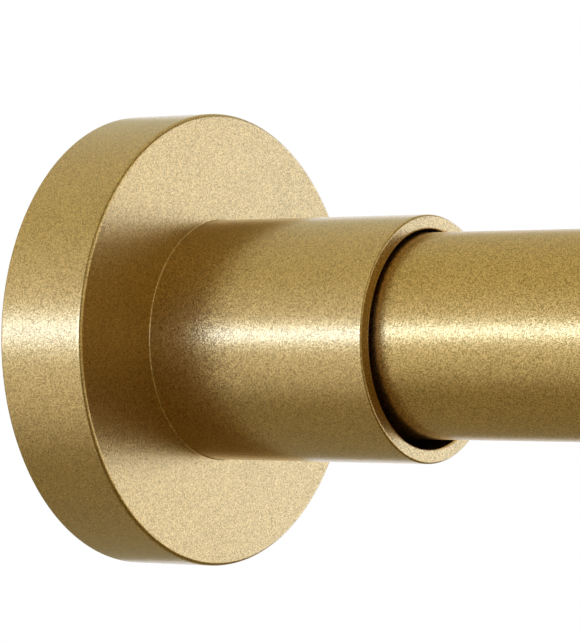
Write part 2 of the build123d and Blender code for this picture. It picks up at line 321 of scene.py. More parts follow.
MOULDED = (
    ("pad_rubber", (0.030, 0.030, 0.031), (0.012, 0.012, 0.012), RUBBER_GRAIN, 0.05, 0.72),
    ("foot_plastic", (0.020, 0.020, 0.022), (0.012, 0.012, 0.013), ERODED_GRAIN, 0.03, 0.5),
    ("lock_nylon", (0.66, 0.62, 0.52), (0.55, 0.51, 0.41), ERODED_GRAIN, 0.02, 0.42),
    ("guide_nylon", (0.82, 0.82, 0.79), (0.72, 0.72, 0.69), ERODED_GRAIN, 0.02, 0.4),
)
FINISHES.update({look[0]: grained(*look) for look in MOULDED})
print("moulded finishes:", [look[0] for look in MOULDED])

# %% [markdown]
# ## Turned steel
# The screws and washers are zinc-plated steel, turned, so faint lines run round the rod's own axis. On
# the spring, which is darker wire, the same lines run nearly along the wire, as drawing leaves them. A
# noise that is stretched across the axis gives such lines without a picture, and a second one adds the
# uneven grey of thin plating.

# %% Steel
TURNING_LINES = 0.12
LINE_STRETCH = 0.02
LINE_DEPTH = 0.01
LINE_STRENGTH = 0.25
STAIN_SIZE = 3.0
STAIN_SHARE = 0.6
STEEL_RANGE = (0.3, 0.7)
STEEL_ROUGHNESS_SPREAD = 0.2


def turned_steel(name, light, dark, roughness):
    """Plated steel with fine lines round the X axis."""
    material, start, shader = new_finish(name)
    place = start.node("ShaderNodeTexCoord", out="Object")
    squeezed = place.vector("MULTIPLY", (1.0, LINE_STRETCH, LINE_STRETCH))
    lines = start.node("ShaderNodeTexNoise", {"Vector": squeezed, "Scale": per_metre(TURNING_LINES)})
    patches = {"Vector": place, "Scale": per_metre(STAIN_SIZE), "Detail": 4.0}
    stain = start.node("ShaderNodeTexNoise", patches)
    grey = lines * (1 - STAIN_SHARE) + stain * STAIN_SHARE
    bump = {"Strength": LINE_STRENGTH, "Distance": LINE_DEPTH * MM, "Height": lines}
    fill(
        shader,
        Base_Color=grey.step(*STEEL_RANGE).tint(dark, light),
        Metallic=1.0,
        Roughness=roughness + (stain - 0.5) * STEEL_ROUGHNESS_SPREAD,
        Normal=start.node("ShaderNodeBump", bump),
    )
    return material


FINISHES["zinc_steel"] = turned_steel("zinc_steel", (0.62, 0.63, 0.65), (0.45, 0.46, 0.48), 0.3)
FINISHES["spring_steel"] = turned_steel("spring_steel", (0.28, 0.28, 0.29), (0.16, 0.16, 0.17), 0.35)
print("finishes:", sorted(FINISHES))

# %% [markdown]
# ## Where each piece lies
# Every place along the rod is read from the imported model, as a distance from the piece's own wall. So one
# function makes a piece for either end, and the right-hand one is turned half a turn about Z afterwards.

# %% Read a piece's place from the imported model
rod_length = cad_box[1][0] / MM
BODY_OF = {node: body for body, nodes in frame["record"]["behaviour"]["bodies"].items() for node in nodes}
SLOT_OF = {part["node"]: part["material_slot"] for part in frame["record"]["subparts"]}


def reach(node):
    """A node's start, end and radius in millimetres, along the rod from its own wall."""
    low, high = (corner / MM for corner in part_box(node))
    start, end = low.x, high.x
    if node.startswith("right_"):
        start, end = rod_length - high.x, rod_length - low.x
    return round(start, 2), round(end, 2), round((high.y - low.y) / 2, 2)


for node in ("left_cover", "outer_tube", "inner_tube", "tension_screw"):
    print(node, "starts, ends and has the radius", reach(node))

# %% [markdown]
# ## Rounding an outline
# Nearly all of the rod is round, so most pieces are one outline turned about the X axis. A point of an
# outline is (x, radius), or (x, radius, rounding) where that corner is rounded off. Real moulded and cut
# edges are never quite sharp, and it is the small roundings that catch the light. Beside each rounding a
# holding ring is added, so that the smooth shading stays in the rounding and the flats stay flat.

# %% Round an outline's corners
ARC_STEPS = 6
HOLDING = 0.12


def softened(outline):
    """The closed outline with its roundings made as short arcs, each between two holding points."""
    corners = [Vector(point[:2]) for point in outline]
    roundings = [point[2] if len(point) > 2 else 0.0 for point in outline]
    sides = [(corners[i - 1] - c, corners[(i + 1) % len(corners)] - c) for i, c in enumerate(corners)]
    angles = [back.angle(ahead) for back, ahead in sides]
    used = [r / math.tan(a / 2) for r, a in zip(roundings, angles)]
    points = []
    for i, corner in enumerate(corners):
        if not roundings[i]:
            points.append(corner)
            continue
        back, ahead = (side.normalized() for side in sides[i])
        centre = corner + (back + ahead).normalized() * roundings[i] / math.sin(angles[i] / 2)
        first = corner + back * used[i] - centre
        last = corner + ahead * used[i] - centre
        sweep = math.pi - angles[i]
        if sides[i][0].length - used[i] - used[i - 1] > 3 * HOLDING:
            points.append(centre + first + back * HOLDING)
        for k in range(ARC_STEPS + 1):
            share = k / ARC_STEPS
            arc = math.sin((1 - share) * sweep) * first + math.sin(share * sweep) * last
            points.append(centre + arc / math.sin(sweep))
        if sides[i][1].length - used[i] - used[(i + 1) % len(used)] > 3 * HOLDING:
            points.append(centre + last + ahead * HOLDING)
    return points


# %% [markdown]
# ## Turning it
# The Screw modifier would turn an outline too. Here the mesh is built ring by ring, which closes it on the
# axis without doubled points. Shading is smooth and breaks only where two faces meet at a real edge. What
# is small or hidden inside the rod takes fewer steps round than what one sees.

# %% Turn an outline about the axis
TURN_STEPS = 192
INSIDE_STEPS = 128
SMALL_STEPS = 96
SCREW_STEPS = 64
SHARP_ANGLE = math.radians(32)


def shade(made):
    """Smooth shading that breaks only at real edges."""
    made.data.shade_smooth()
    made.data.set_sharp_from_angle(angle=SHARP_ANGLE)
    return made


def as_object(name, shape):
    """The drawn shape as an object of the scene."""
    mesh = bpy.data.meshes.new(name)
    shape.to_mesh(mesh)
    shape.free()
    made = bpy.data.objects.new(name, mesh)
    bpy.context.scene.collection.objects.link(made)
    return made


def turned(name, outline, drop=0.0, steps=TURN_STEPS):
    """A closed mesh turned about the X axis, or about a line that lies lower by drop."""
    shape = bmesh.new()
    turns = [math.tau * k / steps for k in range(steps)]
    rings = []
    for x, radius in softened(outline):
        around = turns if radius > 0 else [0.0]
        places = [Vector((x, radius * math.sin(t), radius * math.cos(t) - drop)) * MM for t in around]
        rings.append([shape.verts.new(place) for place in places])
    for here, after in zip(rings, rings[1:] + rings[:1]):
        for k in range(steps):
            pairs = ((here, k), (here, k + 1), (after, k + 1), (after, k))
            face = list(dict.fromkeys(ring[i % len(ring)] for ring, i in pairs))
            if len(face) > 2:
                shape.faces.new(face)
    bmesh.ops.recalc_face_normals(shape, faces=shape.faces)
    return shade(as_object(name, shape))


# %% [markdown]
# ## Putting a piece into the model
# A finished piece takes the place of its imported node: it hides the node, rides on the same body and
# keeps the same material slot. Pieces of the right-hand end are turned round to their own wall first.

# %% Put a piece in the place of its node
HALF_TURN = Matrix.Translation((rod_length * MM, 0, 0)) @ Matrix.Rotation(math.pi, 4, "Z")
finished = {}


def install(made, node):
    """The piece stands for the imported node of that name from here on."""
    if node.startswith("right_"):
        made.data.transform(HALF_TURN)
    slot = SLOT_OF[node]
    made.data.materials.clear()
    made.data.materials.append(FINISHES[slot])
    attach(made, BODY_OF[node])
    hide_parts(node)
    triangles = sum(len(face.vertices) - 2 for face in made.data.polygons)
    finished[node] = triangles
    print(node, "is now", made.name, "with", triangles, "triangles on", BODY_OF[node])


# %% [markdown]
# ## Geometry Nodes from a script
# What repeats on the rod, or follows a rule, is made by Geometry Nodes: ribs, a spring and threads. A
# tree is built here once, with a named input for each size, and is then run on one piece after another.
# The result is kept as a plain mesh, because the finished piece must not depend on the tree any more.


# %% Build a node tree with named inputs
def new_tree(name, inputs):
    """A tree that takes a mesh, a material and these named sizes: the tree, and its inputs as wires."""
    tree = bpy.data.node_groups.new(name, "GeometryNodeTree")
    tree.interface.new_socket("Geometry", in_out="OUTPUT", socket_type="NodeSocketGeometry")
    kinds = {"Geometry": "NodeSocketGeometry", "Material": "NodeSocketMaterial"}
    for label in ("Geometry", "Material", *inputs):
        kind = kinds.get(label, "NodeSocketInt" if label == "Count" else "NodeSocketFloat")
        tree.interface.new_socket(label, in_out="INPUT", socket_type=kind)
    entry = tree.nodes.new("NodeGroupInput")
    return tree, {s.name: Wire(tree, s) for s in entry.outputs if s.name}


def joined(tree, parts):
    """Several wires of geometry as one."""
    join = tree.nodes.new("GeometryNodeJoinGeometry")
    for part in parts:
        tree.links.new(part.socket, join.inputs[0])
    return Wire(tree, join.outputs[0])


def end_tree(tree, parts, material):
    """Joins the wires of geometry, makes real meshes of them and gives them the material."""
    whole = joined(tree, parts)
    real = whole.node("GeometryNodeRealizeInstances", {0: whole})
    painted = real.node("GeometryNodeSetMaterial", {"Geometry": real, "Material": material})
    leave = tree.nodes.new("NodeGroupOutput")
    tree.links.new(painted.socket, leave.inputs["Geometry"])
    print("tree", tree.name, "has", len(tree.nodes), "nodes")
    return tree


# %% Run a tree and keep its result
def in_metres(**sizes):
    """Sizes in millimetres as the values of a tree's inputs of those names."""
    return {label: size * MM for label, size in sizes.items()}


def settle(made):
    """Keeps what a piece's modifier makes of it as its plain mesh."""
    bpy.context.view_layer.update()
    seen = made.evaluated_get(bpy.context.evaluated_depsgraph_get())
    mesh = bpy.data.meshes.new_from_object(seen)
    made.modifiers.clear()
    made.data = mesh
    return made


def apply_tree(made, tree, **values):
    """Runs a tree on a piece with these values."""
    modifier = made.modifiers.new(tree.name, "NODES")
    modifier.node_group = tree
    for item in tree.interface.items_tree:
        if item.in_out == "INPUT" and item.name in values:
            modifier[item.identifier] = values[item.name]
    return shade(settle(made))


# %% [markdown]
# ## Ribs
# The cover, the foot and the tube plug are stiffened by flat ribs that stand like the spokes of a wheel.
# A rib could be modelled and copied by hand, but the count and the sizes differ from piece to piece, so
# one tree makes them all: it fills a rounded rectangle, pulls it out into a bar, and sets the bar on
# points that turn about the X axis. The piece itself goes in, and comes out with its ribs.

# %% One rib
ROUND_STEPS = 4
SEAM = 1e-6


def one_rib(has):
    """A closed bar with rounded edges, above the axis, between the radii Inner and Outer."""
    start, end, inner = has["Start"], has["End"], has["Inner"]
    size = {"Width": end - start, "Height": has["Wall"]}
    section = start.node("GeometryNodeCurvePrimitiveQuadrilateral", size)
    softer = {"Curve": section, "Radius": has["Rounding"], "Count": ROUND_STEPS, "Limit Radius": True}
    section = section.node("GeometryNodeFilletCurve", softer, mode="POLY")
    plate = section.node("GeometryNodeFillCurve", {"Curve": section}, mode="NGONS")
    pull = {"Mesh": plate, "Offset": (0, 0, 1), "Offset Scale": has["Outer"] - inner, "Individual": False}
    bar = plate.node("GeometryNodeExtrudeMesh", pull, mode="FACES")
    foot = plate.node("GeometryNodeFlipFaces", {"Mesh": plate})
    whole = joined(start.tree, (bar, foot))
    closed = whole.node("GeometryNodeMergeByDistance", {"Geometry": whole, "Distance": SEAM})
    place = start.node("ShaderNodeCombineXYZ", {"X": (start + end) / 2, "Z": inner})
    return closed.node("GeometryNodeTransform", {"Geometry": closed, "Translation": place})


# %% The tree that sets ribs round the axis
RIB_ROUNDING = 0.2


def rib_tree():
    """Count ribs about the X axis, or about a line that lies lower by Drop."""
    sizes = ["Count", "Start", "End", "Inner", "Outer", "Wall", "Rounding", "Drop"]
    tree, has = new_tree("radial_ribs", sizes)
    rib = one_rib(has)
    points = rib.node("GeometryNodePoints", {"Count": has["Count"]})
    index = rib.node("GeometryNodeInputIndex")
    turn = rib.node("ShaderNodeCombineXYZ", {"X": index * math.tau / has["Count"]})
    spread = {"Points": points, "Instance": rib, "Rotation": turn}
    ribs = points.node("GeometryNodeInstanceOnPoints", spread)
    down = ribs.node("ShaderNodeCombineXYZ", {"Z": has["Drop"] * -1.0})
    ribs = ribs.node("GeometryNodeTransform", {"Geometry": ribs, "Translation": down})
    return end_tree(tree, (has["Geometry"], ribs), has["Material"])


RIBS = rib_tree()


def ribbed(made, count, start, end, inner, outer, wall, drop=0.0):
    """A turned piece with its ribs, all sizes in millimetres."""
    sizes = in_metres(Start=start, End=end, Inner=inner, Outer=outer)
    sizes |= in_metres(Wall=wall, Rounding=RIB_ROUNDING, Drop=drop)
    return apply_tree(made, RIBS, Count=count, **sizes)


# %% [markdown]
# ## The cover
# This is what one sees: a disc against the wall that runs into a sleeve round the tube. It is one
# moulding with even walls, hollow at the back, and six ribs inside centre it on the foot. The disc's front
# edge has a small rounding, and the sleeve meets the disc in a tight inside corner. A disc and a cylinder
# could be joined by a Boolean, but one closed outline gives each wall its thickness and each edge its own
# rounding. The cover is loose on the tube, so it hangs a little lower than the tube's axis.

# %% Both covers
RIM_WALL = 2.0
FACE_WALL = 2.2
DISC_THICK = 12.7
SLEEVE_RADIUS = 15.3
SLEEVE_BORE = 13.5
BOSS_HIGH = 3.1
COVER_SAG = 0.42
COVER_RIBS = 6
COVER_RIB_WALL = 1.6
BITE = 0.5
TURNING_GAP = 0.3
FOOT_FRONT = reach("left_tube_plug")[0] - TURNING_GAP


def cover(node):
    """The disc and its sleeve in one, with the ribs behind the disc."""
    start, mouth, disc = reach(node)
    front = start + DISC_THICK
    inside = front - FACE_WALL
    rim = disc - RIM_WALL
    outline = [
        (start, rim, 0.3),
        (start, disc, 0.3),
        (front, disc, 0.5),
        (front, SLEEVE_RADIUS, 0.1),
        (mouth, SLEEVE_RADIUS, 0.3),
        (mouth, SLEEVE_BORE, 0.3),
        (inside - BOSS_HIGH, SLEEVE_BORE, 0.3),
        (inside - BOSS_HIGH, SLEEVE_RADIUS, 0.3),
        (inside, SLEEVE_RADIUS, 0.5),
        (inside, rim, 0.8),
    ]
    body = turned(node + "_shell", outline, COVER_SAG)
    ribs = (FOOT_FRONT + TURNING_GAP, inside + BITE, SLEEVE_RADIUS - BITE, rim + BITE)
    return ribbed(body, COVER_RIBS, *ribs, COVER_RIB_WALL, COVER_SAG)


for side in ("left", "right"):
    install(cover(side + "_cover"), side + "_cover")

# %% [markdown]
# ## The tubes
# Both tubes are thin steel, cut square and deburred, so their ends have a hair's rounding inside and out.
# A cylinder with a Solidify modifier would have the wall but sharp ends, so a tube is an outline too.

# %% Both tubes
OUTER_WALL = 0.8
INNER_WALL = 0.7
CUT_EDGE = 0.15


def plain_ring(name, start, end, outer, inner, edge, drop=0.0, steps=TURN_STEPS):
    """A tube, ring or washer with its four edges rounded."""
    outline = [(start, inner, edge), (start, outer, edge), (end, outer, edge), (end, inner, edge)]
    return turned(name, outline, drop, steps)


def cut_tube(name, node, wall):
    """A length of tube with this wall."""
    start, end, radius = reach(node)
    return plain_ring(name, start, end, radius, radius - wall, CUT_EDGE)


install(cut_tube("thick_tube", "outer_tube", OUTER_WALL), "outer_tube")
install(cut_tube("thin_tube", "inner_tube", INNER_WALL), "inner_tube")

# %% [markdown]
# ## The collar and the reducer
# The collar is a moulded ring on the thick tube's open end, with a long bush inside that the thin tube
# slides in. The right-hand sleeve is made for the thick tube, so a reducer ring fills it round the thin
# one. Both are turned outlines, and the collar's has a step for the tube's end.

# %% Collar and reducer
BUSH_GAP = 0.15
COLLAR_FIT = 0.05
COLLAR_LAP = 8.0
REDUCER_GAP = 0.8
REDUCER_EDGE = 0.3


def collar():
    """A ring over the tube's end and a bush inside it, in one."""
    start, end, outer = reach("tube_collar")
    tube_end, tube_radius = reach("outer_tube")[1:]
    bush = reach("inner_tube")[2] + BUSH_GAP
    in_tube = tube_radius - OUTER_WALL - COLLAR_FIT
    on_tube = tube_radius + COLLAR_FIT
    outline = [
        (start, bush, 0.2),
        (start, in_tube, 0.4),
        (tube_end, in_tube),
        (tube_end, on_tube),
        (tube_end - COLLAR_LAP, on_tube),
        (tube_end - COLLAR_LAP, outer, 0.35),
        (end, outer, 0.6),
        (end, bush, 0.4),
    ]
    return turned("collar_ring", outline)


def reducer():
    """The ring between the right-hand sleeve and the thin tube."""
    start, end, radius = reach("right_reducer_ring")
    bore = reach("inner_tube")[2] + REDUCER_GAP
    return plain_ring("reducer", start, end, radius, bore, REDUCER_EDGE, COVER_SAG)


install(collar(), "tube_collar")
install(reducer(), "right_reducer_ring")

# %% [markdown]
# ## The feet
# Behind each cover the tube ends in a pressed-in plug, and a black foot turns on that plug. The foot is a
# plate with a deep groove all round, ribs across the groove, a recess for the rubber pad and a hollow
# spigot. Cutting all that out of a disc takes many Booleans, while its outline is only fourteen points.

# %% Both feet
FOOT_LIP = 1.6
FOOT_RIM = 2.6
FOOT_FLOOR = 1.6
FOOT_HUB = 11.0
FOOT_RIBS = 8
FOOT_RIB_WALL = 1.4
PAD_THICK = 3.0
SPIGOT = 6.0
WELL = 4.8
WELL_DEEP = 4.0
SCREW_HOLE = 2.3


def foot(node):
    """A plate with a groove all round, ribs across the groove and the spigot that it turns on."""
    start, end, outer = reach(node)
    rim = outer - FOOT_RIM
    floor = PAD_THICK + FOOT_FLOOR
    outline = [
        (start, outer - FOOT_LIP, 0.3),
        (start, outer, 0.3),
        (FOOT_FRONT, outer, 0.4),
        (FOOT_FRONT, rim, 0.3),
        (floor, rim, 0.25),
        (floor, FOOT_HUB, 0.25),
        (FOOT_FRONT, FOOT_HUB, 0.3),
        (FOOT_FRONT, SPIGOT, 0.4),
        (end, SPIGOT, 0.5),
        (end, SCREW_HOLE, 0.2),
        (PAD_THICK + WELL_DEEP, SCREW_HOLE, 0.1),
        (PAD_THICK + WELL_DEEP, WELL, 0.2),
        (PAD_THICK, WELL, 0.2),
        (PAD_THICK, outer - FOOT_LIP, 0.2),
    ]
    body = turned(node + "_body", outline, steps=INSIDE_STEPS)
    ribs = (floor - BITE, FOOT_FRONT, FOOT_HUB - BITE, rim + BITE)
    return ribbed(body, FOOT_RIBS, *ribs, FOOT_RIB_WALL)


for side in ("left", "right"):
    install(foot(side + "_foot"), side + "_foot")

# %% [markdown]
# ## The wall pads
# A pad is a rubber disc that presses on the wall, and its ring grooves help it to grip. A bump texture
# could fake the grooves, but the mesh itself would be flat, so each is four more points of the outline,
# added in a loop.

# %% Both wall pads
PAD_LAND = 8.0
GROOVES = 4
GROOVE_PITCH = 4.0
GROOVE_WIDE = 1.4
GROOVE_DEEP = 0.8


def wall_pad(node):
    """A rubber disc with soft-edged ring grooves on its wall side."""
    start, end, outer = reach(node)
    outline = [(start, 0.0)]
    for i in range(GROOVES):
        inside = PAD_LAND + GROOVE_PITCH * i
        outline += [(start, inside, 0.25), (start + GROOVE_DEEP, inside, 0.3)]
        outline += [(start + GROOVE_DEEP, inside + GROOVE_WIDE, 0.3), (start, inside + GROOVE_WIDE, 0.25)]
    outline += [(start, outer, 0.4), (end, outer, 0.15), (end, 0.0)]
    return turned(node + "_rubber", outline, steps=INSIDE_STEPS)


for side in ("left", "right"):
    install(wall_pad(side + "_wall_pad"), side + "_wall_pad")

# %% [markdown]
# ## The tube plugs
# A plug is pressed into the end of each tube. It is a cup with a flange that stops it, a socket for the
# foot's spigot and a boss for the screw, and four ribs hold the boss. The two plugs differ only in the
# wall of their tube, so one function makes both.

# %% Both tube plugs
PLUG_SKIRT = 1.6
PLUG_FLOOR = 3.0
PLUG_FLANGE = 2.0
PLUG_RIBS = 4
PLUG_RIB_WALL = 1.5
SPIGOT_GAP = 0.15
SCREW_BOSS = 4.5
SCREW_SHANK = 2.0
PRESS_GAP = 0.05


def tube_plug(node, wall):
    """A cup with a socket for the spigot, a boss for the screw and ribs between boss and skirt."""
    start, end, flange = reach(node)
    in_tube = flange - wall - PRESS_GAP
    skirt = in_tube - PLUG_SKIRT
    socket = SPIGOT + SPIGOT_GAP
    socket_end = reach("left_foot")[1] + TURNING_GAP
    web = socket_end + PLUG_FLOOR
    outline = [
        (start, socket, 0.3),
        (start, flange, 0.35),
        (start + PLUG_FLANGE, flange, 0.2),
        (start + PLUG_FLANGE, in_tube),
        (end, in_tube, 0.5),
        (end, skirt, 0.3),
        (web, skirt, 0.5),
        (web, SCREW_BOSS, 0.5),
        (end, SCREW_BOSS, 0.3),
        (end, SCREW_SHANK, 0.2),
        (socket_end, SCREW_SHANK, 0.1),
        (socket_end, socket, 0.4),
    ]
    body = turned(node + "_body", outline, steps=INSIDE_STEPS)
    ribs = (web - BITE, end, SCREW_BOSS - BITE, skirt + BITE)
    return ribbed(body, PLUG_RIBS, *ribs, PLUG_RIB_WALL)


install(tube_plug("left_tube_plug", OUTER_WALL), "left_tube_plug")
install(tube_plug("right_tube_plug", INNER_WALL), "right_tube_plug")

# %% [markdown]
# ## Coils by Geometry Nodes
# A spring and a thread are both something that follows a helix. One tree bends a line into the helix
# by formula and runs a section along it: a round one makes the spring's wire, a wedge-shaped one makes
# a thread's ridge round its core. Closing draws the end turns together, as on a spring with closed
# ends, and whatever stands past Start or End is pressed back to it, as if the ends were ground flat.
# Fade lets a thread run out thinly at both ends. Its step begins a hair below 0, so that a coil without
# a fade keeps its full section to the very end.

# %% The sections of a wire and of a thread
WIRE_SIDES = 20
SUNK = 0.15


def round_wire(has):
    """The section of a round wire."""
    circle = {"Resolution": WIRE_SIDES, "Radius": has["Thick"] / 2}
    return has["Thick"].node("GeometryNodeCurvePrimitiveCircle", circle)


def ridge(has, way=1.0):
    """The section of a ridge on a core, its wide foot sunk a little, or in a bore where way is -1."""
    foot, tip, high = has["Foot"], has["Tip"], has["Thick"]
    places = ((-SUNK, foot, -1), (-SUNK, foot, 1), (1, tip, 1), (1, tip, -1))
    corners = {}
    for i, (out, wide, side) in enumerate(places):
        flat = {"X": high * (out * way), "Y": wide * (side * way / 2)}
        corners[f"Point {i + 1}"] = foot.node("ShaderNodeCombineXYZ", flat)
    return foot.node("GeometryNodeCurvePrimitiveQuadrilateral", corners, mode="POINTS")


def inner_ridge(has):
    """The section of a nut's thread, which points at the axis."""
    return ridge(has, -1.0)


# %% The tree that makes coils
HAIR_BELOW = -0.0001


def helix(has):
    """A curve that makes Turns right-handed turns from Start to End at Radius, and its share of the way."""
    line = has["Start"].node("GeometryNodeCurvePrimitiveLine")
    line = line.node("GeometryNodeResampleCurve", {"Curve": line, "Count": has["Count"]}, mode="COUNT")
    share = line.node("GeometryNodeSplineParameter")
    turn = share * has["Turns"] * math.tau
    drawn = share - (share * math.tau).math("SINE") * has["Closing"] / math.tau
    across, up = turn.math("SINE") * -1.0, turn.math("COSINE")
    outward = turn.node("ShaderNodeCombineXYZ", {"Y": across, "Z": up})
    along = has["Start"] + (has["End"] - has["Start"]) * drawn
    sideways, upwards = across * has["Radius"], up * has["Radius"]
    place = along.node("ShaderNodeCombineXYZ", {"X": along, "Y": sideways, "Z": upwards})
    line = line.node("GeometryNodeSetPosition", {"Geometry": line, "Position": place})
    line = line.node("GeometryNodeSetCurveNormal", {"Curve": line, "Normal": outward}, mode="FREE")
    return line, share


def coil_tree(name, section_of):
    """A helix with a section that follows it, its ends faded and ground flat."""
    sizes = ["Start", "End", "Radius", "Turns", "Closing", "Count", "Thick", "Foot", "Tip", "Fade"]
    tree, has = new_tree(name, sizes)
    line, share = helix(has)
    fade = share.math("MINIMUM", 1.0 - share).step(HAIR_BELOW, has["Fade"])
    run = {"Curve": line, "Profile Curve": section_of(has), "Scale": fade, "Fill Caps": True}
    body = line.node("GeometryNodeCurveToMesh", run)
    x = body.node("ShaderNodeSeparateXYZ", {0: body.node("GeometryNodeInputPosition")})
    half = has["Thick"] / 2
    ground = x.math("MAXIMUM", has["Start"] - half).math("MINIMUM", has["End"] + half)
    shift = body.node("ShaderNodeCombineXYZ", {"X": ground - x})
    body = body.node("GeometryNodeSetPosition", {"Geometry": body, "Offset": shift})
    return end_tree(tree, (has["Geometry"], body), has["Material"])


SPRING_COIL = coil_tree("spring_coil", round_wire)
THREAD_COIL = coil_tree("thread_coil", ridge)
NUT_COIL = coil_tree("nut_coil", inner_ridge)


# %% Add a coil to a piece
def coiled(made, tree, coil, foot=1.0, tip=0.5, closing=0.0, fade=0.0, count=48):
    """A piece with a coil of start, end, radius, turns and thickness, in millimetres, count points a turn."""
    start, end, radius, turns, thick = coil
    sizes = in_metres(Start=start, End=end, Radius=radius, Thick=thick, Foot=foot, Tip=tip)
    sizes |= {"Turns": float(turns), "Closing": closing, "Fade": fade, "Count": int(turns * count)}
    return apply_tree(made, tree, **sizes)


# %% [markdown]
# ## The spring
# The tension spring is round wire with its end turns drawn together and ground flat, so that it stands
# square on its washers. A Screw modifier winds a wire too, but not with closed ends. The screw can be
# pushed back against the spring.

# %% The spring
WIRE = 2.0
SPRING_TURNS = 7
SPRING_CLOSING = 0.62


def spring():
    """Round wire in seven turns, the end turns drawn together and ground flat."""
    start, end, outer = reach("tension_spring")
    empty = bpy.data.objects.new("spring_wire", bpy.data.meshes.new("spring_wire"))
    bpy.context.scene.collection.objects.link(empty)
    half = WIRE / 2
    coil = (start + half, end - half, outer - half, SPRING_TURNS, WIRE)
    return coiled(empty, SPRING_COIL, coil, closing=SPRING_CLOSING)


wire = spring()
install(wire, "tension_spring")
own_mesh(wire)

# %% [markdown]
# ## The cross of a screw
# A screwdriver's cross is punched into the head while the screw is made, and it narrows downwards. Two
# tapered bars that cross have the punch's shape, and a Boolean modifier presses them in. It works here
# because the head is one closed mesh and the bars stand a little proud of it, so no faces coincide.

# %% The punch and its cut
CROSS_LONG = 4.4
CROSS_WIDE = 1.1
CROSS_DEEP = 1.5
CROSS_LONG_TAPER = 0.55
CROSS_WIDE_TAPER = 0.8
PUNCH_PROUD = 0.5


def cross_punch(start):
    """Two tapered bars that cross, a little proud of the screw's face."""
    shape = bmesh.new()
    for turn in (0, math.pi / 2):
        bar = bmesh.ops.create_cube(shape, size=1.0)["verts"]
        for corner in bar:
            deep = corner.co.x > 0
            x = start + CROSS_DEEP if deep else start - PUNCH_PROUD
            length = CROSS_LONG * (CROSS_LONG_TAPER if deep else 1.0)
            width = CROSS_WIDE * (CROSS_WIDE_TAPER if deep else 1.0)
            place = Vector((x, corner.co.y * width, corner.co.z * length))
            corner.co = Matrix.Rotation(turn, 3, "X") @ place * MM
    return as_object("cross_punch", shape)


def punched(body, start):
    """A screw's body with the cross cut into its face."""
    punch = cross_punch(start)
    cut = body.modifiers.new("cross", "BOOLEAN")
    cut.operation = "DIFFERENCE"
    cut.solver = "EXACT"
    cut.use_self = True
    cut.object = punch
    settle(body)
    bpy.data.objects.remove(punch)
    return body


# %% [markdown]
# ## Foot screws and washers
# A pan-head screw holds each foot on its plug. It is a turned body that narrows to a point, and the coil
# tree lays a thin, widely spaced ridge round it, as on a screw for plastic. The ridge is real geometry,
# because a bump would leave the screw's outline smooth.

# %% Foot screws
HEAD_HIGH = 2.4
HEAD_ROUND = 1.1
SCREW_NECK = 1.2
SCREW_NECK_END = 1.6
SCREW_POINT = 2.5
SCREW_PITCH = 1.4
THREAD_HIGH = 0.45
FOOT_THREAD = {"foot": 0.7, "tip": 0.12, "fade": 0.04, "count": 24}
WASHER_EDGE = 0.12


def foot_screw(node):
    """A pan head, a core that narrows to a point, a ridge round it, and the cross punched in."""
    start, tip, head = reach(node)
    core = SCREW_SHANK - THREAD_HIGH
    seat = start + HEAD_HIGH
    thread_start = seat + SCREW_NECK_END
    thread_end = tip - SCREW_POINT
    outline = [
        (start, 0.0),
        (start, head, HEAD_ROUND),
        (seat, head, 0.1),
        (seat, SCREW_SHANK, 0.1),
        (seat + SCREW_NECK, SCREW_SHANK),
        (thread_start, core),
        (thread_end, core),
        (tip, 0.0),
    ]
    body = punched(turned(node + "_body", outline, steps=SCREW_STEPS), start)
    turns = (thread_end - thread_start) / SCREW_PITCH
    thread = (thread_start, thread_end, core, turns, THREAD_HIGH)
    return coiled(body, THREAD_COIL, thread, **FOOT_THREAD)


def washer(node, bore):
    """A punched ring with its edges just broken."""
    start, end, outer = reach(node)
    return plain_ring(node + "_ring", start, end, outer, bore, WASHER_EDGE, steps=SMALL_STEPS)


for side in ("left", "right"):
    install(foot_screw(side + "_foot_screw"), side + "_foot_screw")
    install(washer(side + "_foot_washer", SCREW_SHANK + SPIGOT_GAP), side + "_foot_washer")

# %% [markdown]
# ## The tension screw
# This long screw drives the thin tube out when the thick one is turned. It has a flange that the spring
# pushes, a steep thread with slanted sides, and a tail with two flats that keep it from turning in the
# lock. The flats could be cut with a Boolean. Here the tail is turned round first, and its points are then
# pressed to the two flats, which keeps the mesh clean.

# %% The tension screw and its washers
TAIL = 3.0
TAIL_FLATS = 5.0
TAIL_GAP = 0.25
TAIL_MARGIN = 0.01
SCREW_FLANGE = 3.0
CORE = 3.9
TIP_LONG = 1.5
TIP_NARROWER = 0.9
THREAD_STOP = 2.0
MAIN_PITCH = 4.0
MAIN_HIGH = 1.1
MAIN_THREAD = {"foot": 2.6, "tip": 1.3, "fade": 0.012}


def press_flats(body, tail_end):
    """Presses a turned tail to two flats, above and below."""
    flat = TAIL_FLATS / 2 * MM
    for point in body.data.vertices:
        if point.co.x < (tail_end - TAIL_MARGIN) * MM:
            point.co.z = max(min(point.co.z, flat), -flat)


